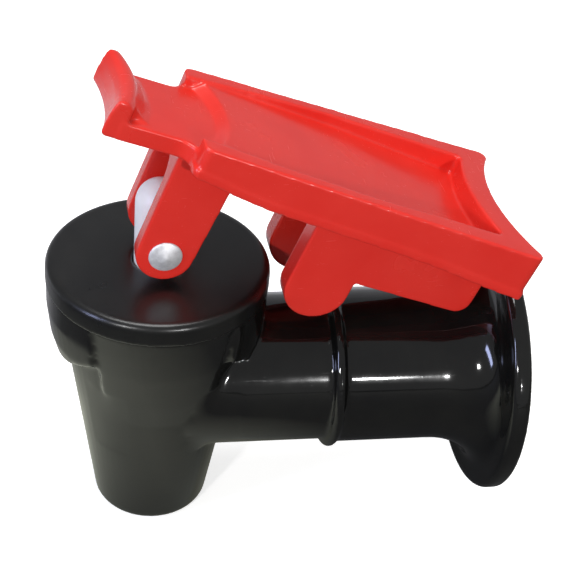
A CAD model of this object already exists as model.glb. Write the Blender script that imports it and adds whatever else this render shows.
"""Looks of a push-lever dispensing faucet: glossy black tap body, red moulded lever, white stem.

Metres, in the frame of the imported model: +X out of the inlet, +Z up along the stem.
"""
import math

import bpy
from mathutils import Matrix, Vector

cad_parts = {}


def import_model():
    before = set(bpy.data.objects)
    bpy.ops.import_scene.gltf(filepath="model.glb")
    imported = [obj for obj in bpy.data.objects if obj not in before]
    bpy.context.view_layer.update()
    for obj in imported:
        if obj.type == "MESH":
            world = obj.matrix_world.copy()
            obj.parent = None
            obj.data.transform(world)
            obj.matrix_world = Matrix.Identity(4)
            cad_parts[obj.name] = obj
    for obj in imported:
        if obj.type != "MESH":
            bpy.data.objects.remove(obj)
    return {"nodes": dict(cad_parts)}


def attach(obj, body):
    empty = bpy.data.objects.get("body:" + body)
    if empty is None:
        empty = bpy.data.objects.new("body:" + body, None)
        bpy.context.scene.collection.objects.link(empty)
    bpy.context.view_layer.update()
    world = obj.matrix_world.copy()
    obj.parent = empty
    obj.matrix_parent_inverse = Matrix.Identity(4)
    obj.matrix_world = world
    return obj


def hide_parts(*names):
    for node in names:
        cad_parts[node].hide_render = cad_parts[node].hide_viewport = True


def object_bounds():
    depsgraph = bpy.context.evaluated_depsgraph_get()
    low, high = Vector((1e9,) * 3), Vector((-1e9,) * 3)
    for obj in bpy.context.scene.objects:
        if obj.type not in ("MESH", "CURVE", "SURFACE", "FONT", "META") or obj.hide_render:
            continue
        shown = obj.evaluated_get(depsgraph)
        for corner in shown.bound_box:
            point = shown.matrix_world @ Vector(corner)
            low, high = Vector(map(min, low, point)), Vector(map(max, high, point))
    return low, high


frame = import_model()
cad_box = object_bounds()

MM = 0.001
NODES = frame["nodes"]


# nodes of a material

class Mat:
    """A node material with short names for the nodes that the finishes share."""

    def __init__(self, name):
        self.mat = bpy.data.materials.new(name)
        self.mat.use_nodes = True
        self.tree = self.mat.node_tree
        self.tree.nodes.clear()
        self.out = self.add("ShaderNodeOutputMaterial")
        self.bsdf = self.add("ShaderNodeBsdfPrincipled")
        self.link(self.bsdf.outputs[0], self.out.inputs["Surface"])
        self.coords = self.add("ShaderNodeTexCoord").outputs["Object"]

    def add(self, kind, **values):
        node = self.tree.nodes.new(kind)
        for key, value in values.items():
            setattr(node, key, value)
        return node

    def link(self, a, b):
        self.tree.links.new(a, b)

    def set(self, **values):
        for key, value in values.items():
            self.bsdf.inputs[key.replace("_", " ")].default_value = value

    def stretched(self, scale):
        node = self.add("ShaderNodeMapping")
        node.inputs["Scale"].default_value = scale
        self.link(self.coords, node.inputs["Vector"])
        return node.outputs["Vector"]

    def noise(self, size, detail=2.0, rough=0.5, stretch=None):
        """Noise whose blotches are about `size` metres across."""
        node = self.add("ShaderNodeTexNoise")
        node.inputs["Scale"].default_value = 1 / size
        node.inputs["Detail"].default_value = detail
        node.inputs["Roughness"].default_value = rough
        self.link(self.stretched(stretch) if stretch else self.coords, node.inputs["Vector"])
        return node.outputs["Fac"]

    def scale(self, value, lo, hi, start=0.3, end=0.7):
        """Maps a noise value from start..end to lo..hi."""
        node = self.add("ShaderNodeMapRange")
        for key, number in (("From Min", start), ("From Max", end), ("To Min", lo), ("To Max", hi)):
            node.inputs[key].default_value = number
        self.link(value, node.inputs["Value"])
        return node.outputs["Result"]

    def math(self, kind, a, b):
        node = self.add("ShaderNodeMath", operation=kind)
        for socket, value in zip(node.inputs, (a, b)):
            if isinstance(value, (int, float)):
                socket.default_value = value
            else:
                self.link(value, socket)
        return node.outputs[0]

    def mix(self, fac, a, b):
        node = self.add("ShaderNodeMix", data_type="RGBA")
        for socket, value in ((node.inputs["Factor"], fac), (node.inputs[6], a), (node.inputs[7], b)):
            if isinstance(value, (int, float, tuple)):
                socket.default_value = value
            else:
                self.link(value, socket)
        return node.outputs[2]

    def bump(self, *heights):
        """Adds the (height value, depth in metres) pairs as one chain of bumps."""
        normal = None
        for value, depth in heights:
            node = self.add("ShaderNodeBump")
            node.inputs["Strength"].default_value = 1.0
            node.inputs["Distance"].default_value = depth
            self.link(value, node.inputs["Height"])
            if normal:
                self.link(normal, node.inputs["Normal"])
            normal = node.outputs["Normal"]
        self.link(normal, self.bsdf.inputs["Normal"])


def rgb(r, g, b):
    """sRGB 0..255 to a linear colour."""
    def lin(v):
        v /= 255
        return v / 12.92 if v <= 0.04045 else ((v + 0.055) / 1.055) ** 2.4
    return (lin(r), lin(g), lin(b), 1.0)


def scratches(m, size):
    """Sparse hairlines in two directions."""
    a = m.scale(m.noise(size, 3, 0.6, (1, 14, 9)), 0, 1, 0.66, 0.74)
    b = m.scale(m.noise(size, 3, 0.6, (11, 1, 16)), 0, 1, 0.66, 0.74)
    return m.math("MAXIMUM", a, b)


def black_plastic(name, rough):
    m = Mat(name)
    smudge = m.noise(9 * MM, 4, 0.6)
    grain = m.noise(0.5 * MM, 2)
    hair = scratches(m, 7 * MM)
    m.link(m.mix(m.scale(smudge, 0, 1), rgb(12, 12, 12), rgb(21, 21, 19)), m.bsdf.inputs["Base Color"])
    m.link(m.math("ADD", m.scale(smudge, rough, rough + 0.05), m.math("MULTIPLY", hair, 0.07)),
           m.bsdf.inputs["Roughness"])
    m.bump((m.noise(4.5 * MM, 2), 0.012 * MM), (grain, 0.001 * MM))
    return m.mat


def red_plastic():
    m = Mat("red_plastic")
    cloud = m.noise(11 * MM, 3, 0.55)
    grain = m.noise(0.45 * MM, 2)
    hair = scratches(m, 6 * MM)
    colour = m.mix(m.scale(cloud, 0, 1), rgb(218, 43, 34), rgb(224, 51, 41))
    colour = m.mix(m.math("MULTIPLY", hair, 0.05), colour, rgb(228, 80, 72))
    m.link(colour, m.bsdf.inputs["Base Color"])
    m.link(m.math("ADD", m.scale(cloud, 0.2, 0.28), m.math("MULTIPLY", hair, 0.05)),
           m.bsdf.inputs["Roughness"])
    m.set(Subsurface_Weight=0.12, Subsurface_Radius=(1.0, 0.15, 0.1), Subsurface_Scale=0.6 * MM)
    m.bump((m.noise(5 * MM, 2), 0.03 * MM), (grain, 0.002 * MM))
    return m.mat


def stem_nylon():
    m = Mat("stem_nylon")
    cloud = m.noise(5 * MM, 3)
    m.link(m.mix(m.scale(cloud, 0, 1), rgb(244, 244, 242), rgb(251, 251, 249)), m.bsdf.inputs["Base Color"])
    m.link(m.scale(cloud, 0.28, 0.4), m.bsdf.inputs["Roughness"])
    m.set(Subsurface_Weight=0.6, Subsurface_Radius=(1.0, 0.95, 0.9), Subsurface_Scale=1.5 * MM)
    m.bump((m.noise(1.2 * MM, 2), 0.01 * MM),)
    return m.mat


def metal(name, lo, hi, rough, stretch, share=1.0):
    m = Mat(name)
    brush = m.noise(1.2 * MM, 4, 0.7, stretch)
    m.link(m.mix(m.scale(brush, 0, 1), lo, hi), m.bsdf.inputs["Base Color"])
    m.link(m.scale(brush, rough, rough + 0.14), m.bsdf.inputs["Roughness"])
    m.set(Metallic=share)
    m.bump((brush, 0.012 * MM),)
    return m.mat


def rubber(name, lo, hi):
    m = Mat(name)
    dust = m.noise(2 * MM, 4, 0.65)
    m.link(m.mix(m.scale(dust, 0, 1), lo, hi), m.bsdf.inputs["Base Color"])
    m.link(m.scale(dust, 0.55, 0.72), m.bsdf.inputs["Roughness"])
    m.bump((m.noise(0.3 * MM, 3), 0.01 * MM),)
    return m.mat


# finishes of the nodes

FINISH = {
    "body": black_plastic("body_plastic", 0.05),
    "bonnet": black_plastic("bonnet_plastic", 0.27),
    "lever": red_plastic(),
    "stem": stem_nylon(),
    "rivet": metal("rivet_metal", rgb(215, 215, 218), rgb(246, 246, 248), 0.4, (1, 1, 1), 0.55),
    "bonnet_gasket": rubber("gasket_rubber", rgb(30, 30, 30), rgb(52, 52, 50)),
    "stem_seal": rubber("seal_rubber", rgb(24, 24, 24), rgb(40, 40, 40)),
    "seal_washer": metal("washer_metal", rgb(170, 172, 175), rgb(205, 206, 208), 0.22, (1, 1, 8)),
    "stem_spring": metal("spring_wire", rgb(150, 152, 155), rgb(195, 197, 200), 0.2, (1, 1, 8)),
    "seat_plug": rubber("plug_silicone", rgb(206, 200, 186), rgb(224, 219, 207)),
}

# skins of the mouldings: voxel size in mm, smoothing passes, faces kept
SKIN = {"body": (0.32, 5, 190000), "bonnet": (0.28, 4, 120000), "lever": (0.22, 12, 190000),
        "rivet": (0.12, 8, 40000)}
RIDES = {"body": "faucet_body", "bonnet": "faucet_body", "lever": "lever", "rivet": "lever"}
EDGE = {"stem": 0.15}
MELT_PASSES = 300

# axis of stem and spout, height of the rivet, and how the lever stands on it
STEM_X = -62.9 * MM
PIN_Z = 31.1 * MM
LEVER_TURN = math.radians(2.2)
LEVER_PITCH = math.radians(19.2)
# the lever's own frame: plate level, rivet along its Y
LEVER_FRAME = (Matrix.Translation((STEM_X, 0, PIN_Z))
               @ Matrix.Rotation(LEVER_TURN, 4, "Z")
               @ Matrix.Rotation(LEVER_PITCH, 4, "Y"))
# the finger lip in the lever's frame, in mm: where it ends, the centre and trimmed radius of its
# arc and its half width, then how the trim fades in, its depth, and the height and drop of its top
LIP_END, LIP_CENTRE, LIP_RADIUS, LIP_HALF = -12, 35.2, 20.6, 8.4
LIP_FADE, LIP_TRIM, LIP_TOP, LIP_LOWER = 1.6, 0.85, 24, 0.25
# the pad's skirt in the lever's frame, in mm: start, length, half width at the start and its growth
SKIRT_START, SKIRT_LENGTH, SKIRT_HALF, SKIRT_GROWTH = -3.1, 61.9, 12.9, 4.1
# the bonnet's disc: radius, where its edge starts, below which height it is edge, and where it goes
DISC_R, DISC_EDGE, DISC_LOW, DISC_SHOWN = 19 * MM, 18 * MM, 22.3 * MM, 21.0 * MM
# the panels' sides round the stem: levels, collar's foot, radii, and swing from the Y axis in degrees
PANEL_FOOT, PANEL_TOP, COLLAR_FOOT = -10 * MM, 20.4 * MM, 5.6 * MM
PANEL_IN, PANEL_OUT, PANEL_FROM, PANEL_TO = 11 * MM, 19.6 * MM, 22, 56


def trim_lever(mesh):
    """Flattens the hollow of the finger lip's outer face and the roll along the skirt."""
    for v in mesh.vertices:
        u, y = v.co.x / MM, v.co.y / MM
        if u < LIP_END:
            deep = min(max((LIP_RADIUS - math.hypot(u + LIP_CENTRE, y)) / LIP_FADE, 0), 1)
            v.co.x += LIP_TRIM * MM * deep * min((y / LIP_HALF) ** 2, 1)
            if v.co.z > LIP_TOP * MM:
                v.co.z -= LIP_LOWER * MM
        side = SKIRT_HALF + SKIRT_GROWTH * (u - SKIRT_START) / SKIRT_LENGTH
        if u > SKIRT_START - 0.2 and side + 0.1 < abs(y) < side + 0.6:
            v.co.y = math.copysign(side + 0.12, y) * MM


def modified(source, *steps):
    """The mesh that a row of modifiers makes out of a mesh or an object."""
    obj = source if isinstance(source, bpy.types.Object) else bpy.data.objects.new("work", source)
    bpy.context.scene.collection.objects.link(obj)
    for kind, values in steps:
        modifier = obj.modifiers.new(kind.lower(), kind)
        for key, value in values.items():
            setattr(modifier, key, value)
    graph = bpy.context.evaluated_depsgraph_get()
    mesh = bpy.data.meshes.new_from_object(obj.evaluated_get(graph), depsgraph=graph)
    bpy.data.objects.remove(obj)
    return mesh


def skinned(name, local, melt=None, change=None):
    """A moulding with every edge rounded: an even skin over the node's solid, smoothed, then
    thinned. `local` is the frame that the skin's grid follows, and edges under `melt` run out."""
    mesh = NODES[name].data.copy()
    mesh.transform(local.inverted())
    if change:
        change(mesh)
    mesh.materials.clear()
    mesh.materials.append(FINISH[name])
    voxel, passes, faces = SKIN[name]
    mesh = modified(mesh, ("REMESH", {"mode": "VOXEL", "voxel_size": voxel * MM, "use_smooth_shade": True}))
    work = bpy.data.objects.new("work", mesh)
    steps = [("SMOOTH", {"factor": 0.5, "iterations": passes})]
    # the share that `melt` gives a point is how strongly the long smoothing takes hold of it
    if melt:
        group = work.vertex_groups.new(name="melt")
        for v in mesh.vertices:
            share = melt(v.co)
            if share:
                group.add([v.index], share, "REPLACE")
        steps.append(("SMOOTH", {"factor": 0.5, "iterations": MELT_PASSES, "vertex_group": "melt"}))
    if 2 * len(mesh.polygons) > faces:
        steps.append(("DECIMATE", {"ratio": faces / (2 * len(mesh.polygons))}))
    mesh = modified(work, *steps)
    mesh.transform(local)
    obj = bpy.data.objects.new(name + "_moulding", mesh)
    bpy.context.scene.collection.objects.link(obj)
    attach(obj, RIDES[name])
    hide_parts(name)
    return obj


def soften(obj, width):
    """Rounds the sharp edges by `width` millimetres and smooths what lies between them."""
    weld = obj.modifiers.new("join", "WELD")
    weld.merge_threshold = 0.002 * MM
    bevel = obj.modifiers.new("edges", "BEVEL")
    bevel.limit_method = "ANGLE"
    bevel.angle_limit = math.radians(32)
    bevel.width = width * MM
    bevel.segments = 3
    bevel.harden_normals = True
    bevel.miter_outer = "MITER_ARC"


def close_joint(mesh):
    """Lets the disc's edge run down over the body's, so that no groove opens between them."""
    for v in mesh.vertices:
        x, y = v.co.x - STEM_X, v.co.y
        r = math.hypot(x, y)
        if r > DISC_EDGE and v.co.z < DISC_LOW:
            v.co.z = DISC_SHOWN
            v.co.x, v.co.y = x / r * DISC_R + STEM_X, y / r * DISC_R


def melt_panels(co):
    """How far the front and rear panels' sides run out: fully under the collar, a little in it."""
    x, y = co.x - STEM_X, co.y
    swing = abs(math.degrees(math.atan2(x, abs(y))))
    level = PANEL_FOOT < co.z < PANEL_TOP
    if not (level and PANEL_IN < math.hypot(x, y) < PANEL_OUT and PANEL_FROM < swing < PANEL_TO):
        return 0
    return 1.0 if co.z < COLLAR_FOOT else 0.08


for name, obj in NODES.items():
    obj.data.materials.clear()
    obj.data.materials.append(FINISH[name])
    obj.data.shade_smooth()
    if name in EDGE:
        soften(obj, EDGE[name])
still = Matrix.Identity(4)
skinned("body", still, melt=melt_panels)
skinned("bonnet", still, change=close_joint)
skinned("lever", LEVER_FRAME, change=trim_lever)
skinned("rivet", LEVER_FRAME)


# floor, lights, camera

FLOOR_Z = cad_box[0][2] - 0.5 * MM
GROUND_GLOW = 0.62


def backdrop():
    """One sheet: floor, curve and wall behind the faucet."""
    far, near, wide, high, bend = 1.2, -1.6, 2.4, 1.6, 0.5
    profile = [(near, 0.0)]
    profile += [(far - bend + bend * math.sin(a), bend - bend * math.cos(a))
                for a in [math.radians(9 * k) for k in range(11)]]
    profile.append((far, high))
    verts = [(x, y, z + FLOOR_Z) for x in (-wide, wide) for y, z in profile]
    n = len(profile)
    mesh = bpy.data.meshes.new("backdrop")
    mesh.from_pydata(verts, [], [(k, k + 1, n + k + 1, n + k) for k in range(n - 1)])
    mesh.shade_smooth()
    obj = bpy.data.objects.new("backdrop", mesh)
    bpy.context.scene.collection.objects.link(obj)
    m = Mat("paper")
    fibre = m.noise(30 * MM, 4)
    paper = m.mix(m.scale(fibre, 0, 1), rgb(241, 240, 236), rgb(246, 245, 242))
    m.set(Roughness=0.9)
    # what the glossy plastic mirrors: warm paper close by, a dim table in front, a grey wall behind
    apart = m.add("ShaderNodeVectorMath", operation="DISTANCE")
    apart.inputs[1].default_value = (-78 * MM, -8 * MM, FLOOR_Z)
    m.link(m.coords, apart.inputs[0])
    split = m.add("ShaderNodeSeparateXYZ")
    m.link(m.coords, split.inputs[0])
    around = m.mix(m.scale(split.outputs["Y"], 0, 1, 20 * MM, 120 * MM), rgb(84, 84, 82), rgb(222, 222, 224))
    around = m.mix(m.scale(apart.outputs["Value"], 1, 0, 23 * MM, 54 * MM), around, rgb(208, 210, 190))
    path = m.add("ShaderNodeLightPath")
    m.link(m.mix(path.outputs["Is Camera Ray"], around, paper), m.bsdf.inputs["Base Color"])
    # towards the camera the paper gets as light as the photograph's cleared ground, and keeps a soft shadow
    glow = m.add("ShaderNodeEmission")
    glow.inputs["Strength"].default_value = GROUND_GLOW
    both = m.add("ShaderNodeAddShader")
    shown = m.add("ShaderNodeMixShader")
    m.link(m.bsdf.outputs[0], both.inputs[0])
    m.link(glow.outputs[0], both.inputs[1])
    m.link(path.outputs["Is Camera Ray"], shown.inputs["Fac"])
    m.link(m.bsdf.outputs[0], shown.inputs[1])
    m.link(both.outputs[0], shown.inputs[2])
    m.link(shown.outputs[0], m.out.inputs["Surface"])
    obj.data.materials.append(m.mat)


def lamp(name, place, aim, size, power, tint=(1, 1, 1)):
    light = bpy.data.lights.new(name, "AREA")
    light.shape = "RECTANGLE"
    light.size, light.size_y = size
    light.energy = power
    light.color = tint
    obj = bpy.data.objects.new(name, light)
    bpy.context.scene.collection.objects.link(obj)
    obj.location = place
    obj.rotation_euler = (Vector(aim) - Vector(place)).to_track_quat("-Z", "Y").to_euler()


def world():
    w = bpy.data.worlds.new("studio")
    bpy.context.scene.world = w
    w.use_nodes = True
    tree = w.node_tree
    tree.nodes.clear()
    out = tree.nodes.new("ShaderNodeOutputWorld")
    mix = tree.nodes.new("ShaderNodeMixShader")
    soft, white = (tree.nodes.new("ShaderNodeBackground") for _ in range(2))
    soft.inputs["Color"].default_value = (0.97, 0.98, 1.0, 1)
    soft.inputs["Strength"].default_value = 0.36
    white.inputs["Color"].default_value = (1, 1, 1, 1)
    path = tree.nodes.new("ShaderNodeLightPath")
    tree.links.new(path.outputs["Is Camera Ray"], mix.inputs["Fac"])
    tree.links.new(soft.outputs[0], mix.inputs[1])
    tree.links.new(white.outputs[0], mix.inputs[2])
    tree.links.new(mix.outputs[0], out.inputs["Surface"])


def camera():
    """The photograph's view: azimuth from the front, height above level, roll, all in degrees."""
    place = Vector((-80.414, -179.865, 157.089)) * MM
    azimuth, height, roll = (math.radians(v) for v in (12.65, 37.05, 6.48))
    flat = math.cos(height)
    forward = Vector((flat * math.sin(azimuth), flat * math.cos(azimuth), -math.sin(height)))
    level = Vector((math.cos(azimuth), -math.sin(azimuth), 0))
    upright = level.cross(forward)
    right = level * math.cos(roll) + upright * math.sin(roll)
    up = right.cross(forward)
    cam = bpy.data.cameras.new("camera")
    cam.sensor_width = 36
    cam.lens = 82.35
    cam.clip_start = 0.01
    obj = bpy.data.objects.new("camera", cam)
    bpy.context.scene.collection.objects.link(obj)
    obj.matrix_world = Matrix((right, up, -forward)).transposed().to_4x4()
    obj.location = place
    bpy.context.scene.camera = obj


backdrop()
world()
camera()
MIDDLE = (-0.035, 0, 0.01)
lamp("top", (-0.10, 0.06, 0.92), MIDDLE, (0.45, 0.45), 5.5)
lamp("key", (0.145, -0.694, 0.219), MIDDLE, (0.016, 0.007), 1.9)
lamp("second", (-0.44, -0.54, 0.32), MIDDLE, (0.05, 0.05), 1.6)
lamp("window", (-0.675, -0.26, 0.281), MIDDLE, (0.09, 0.3), 1.7, (0.55, 0.62, 1.0))
bpy.context.scene.view_settings.view_transform = "Standard"
